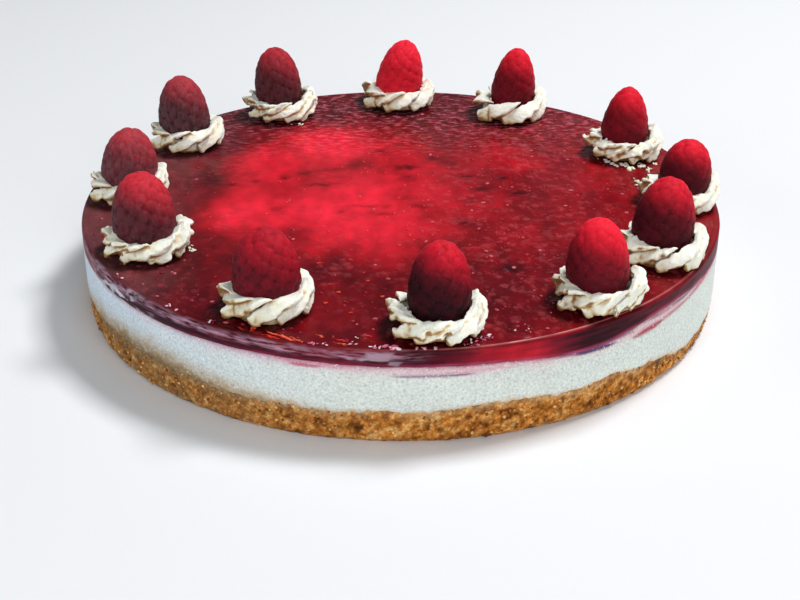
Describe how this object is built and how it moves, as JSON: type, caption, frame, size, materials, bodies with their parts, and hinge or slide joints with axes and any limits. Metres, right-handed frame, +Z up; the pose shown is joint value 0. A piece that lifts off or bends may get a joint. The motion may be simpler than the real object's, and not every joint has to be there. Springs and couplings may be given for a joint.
{
  "type": "raspberry cheesecake",
  "caption": "Whole round cheesecake on a biscuit crumb base, topped with raspberry glaze and a ring of piped cream rosettes that each hold a raspberry.",
  "frame": {"origin": "centre of the flat underside of the cake, which stands on z = 0", "axes": "+Z up along the cake's axis; the side that the picture shows in front faces -Y"},
  "size_m": [0.26, 0.26, 0.0696],
  "materials": {
    "biscuit_crumb": "matte, granular baked biscuit",
    "cheese_filling": "matte, fine-grained cream cheese",
    "raspberry_glaze": "glossy fruit jelly",
    "piped_cream": "satin whipped cream",
    "raspberry_skin": "velvety fruit skin"
  },
  "bodies": {
    "root": {"crumb_base": "biscuit_crumb", "cheese_filling": "cheese_filling", "raspberry_glaze": "raspberry_glaze", "rosette_01": "piped_cream", "rosette_02": "piped_cream", "rosette_03": "piped_cream", "rosette_04": "piped_cream", "rosette_05": "piped_cream", "rosette_06": "piped_cream", "rosette_07": "piped_cream", "rosette_08": "piped_cream", "rosette_09": "piped_cream", "rosette_10": "piped_cream", "rosette_11": "piped_cream", "rosette_12": "piped_cream", "raspberry_01": "raspberry_skin", "raspberry_02": "raspberry_skin", "raspberry_03": "raspberry_skin", "raspberry_04": "raspberry_skin", "raspberry_05": "raspberry_skin", "raspberry_06": "raspberry_skin", "raspberry_07": "raspberry_skin", "raspberry_08": "raspberry_skin", "raspberry_09": "raspberry_skin", "raspberry_10": "raspberry_skin", "raspberry_11": "raspberry_skin", "raspberry_12": "raspberry_skin"}
  },
  "joints": []
}
